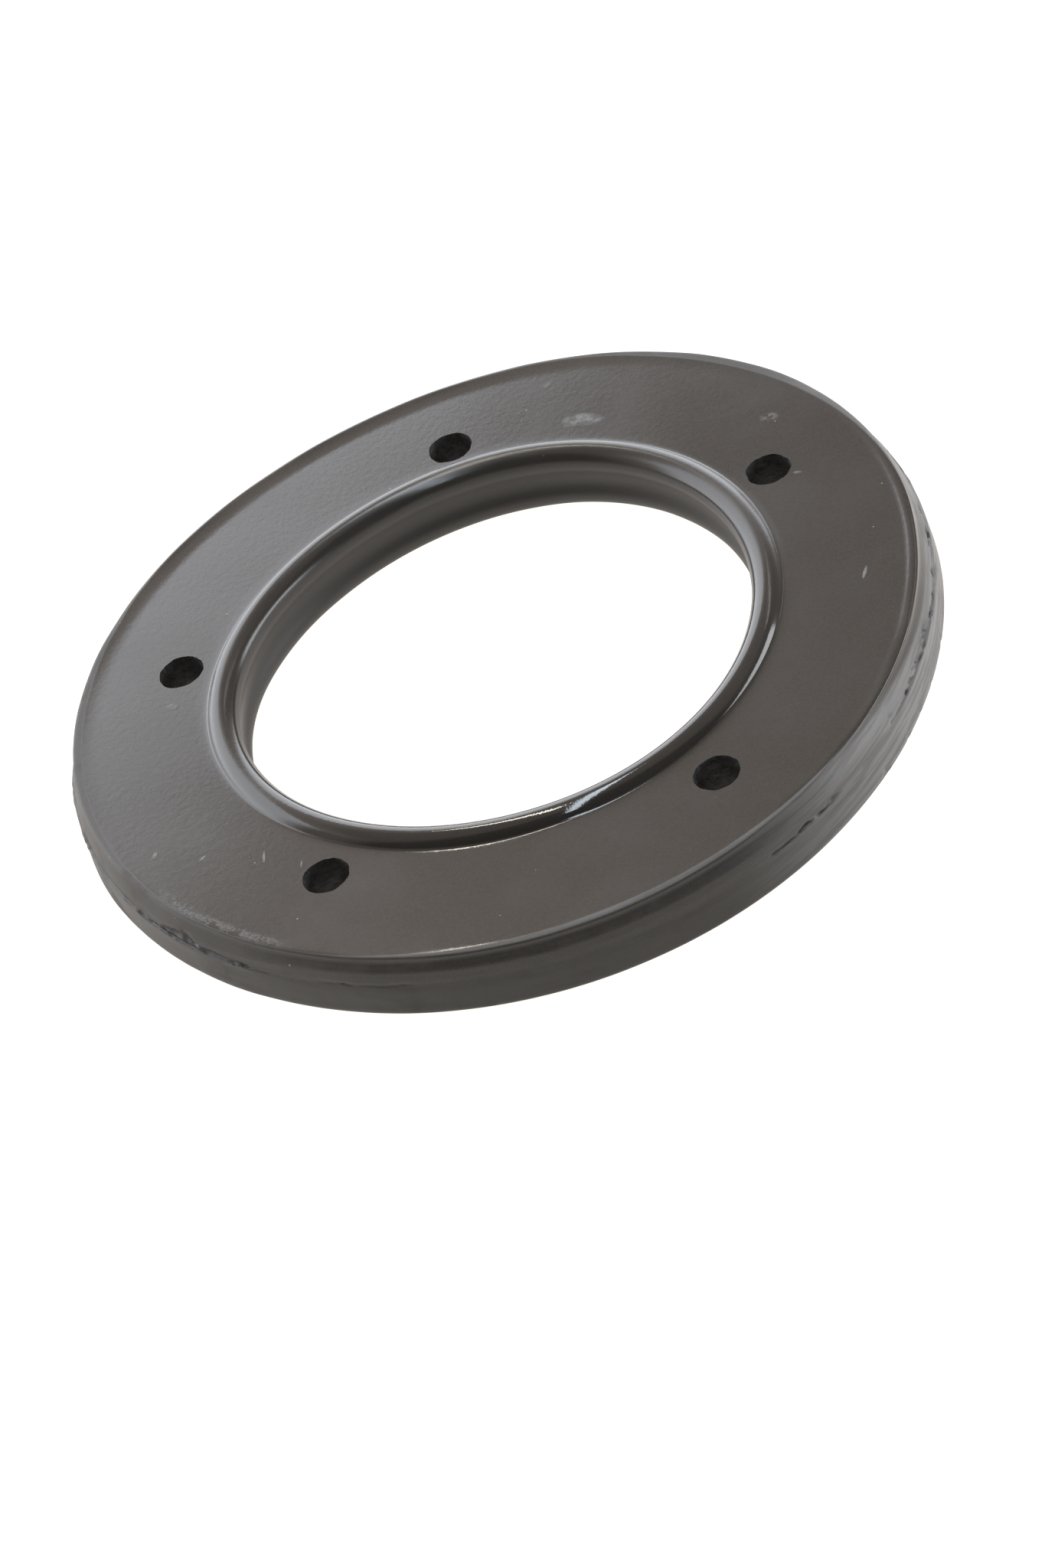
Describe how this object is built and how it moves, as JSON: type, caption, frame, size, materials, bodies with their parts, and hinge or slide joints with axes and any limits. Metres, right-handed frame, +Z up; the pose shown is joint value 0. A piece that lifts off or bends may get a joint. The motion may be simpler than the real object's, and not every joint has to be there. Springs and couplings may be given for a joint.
{
  "type": "toilet flange",
  "caption": "Thick moulded rubber ring that seats a toilet outlet on a soil pipe, with a raised bead round its bore and bolt holes drilled through its flat face.",
  "frame": {"origin": "centre of the bore, on the surface that the flat underside lies on", "axes": "+Z up along the bore, towards the face with the raised bead; +X is the direction from which the holes' angles are measured"},
  "size_m": [0.178, 0.178, 0.0147],
  "materials": {
    "black_rubber": "semi-gloss moulded rubber, slightly uneven, with scuffs and a torn parting line"
  },
  "bodies": {
    "root": {"rubber_flange_ring": "black_rubber"}
  },
  "joints": []
}
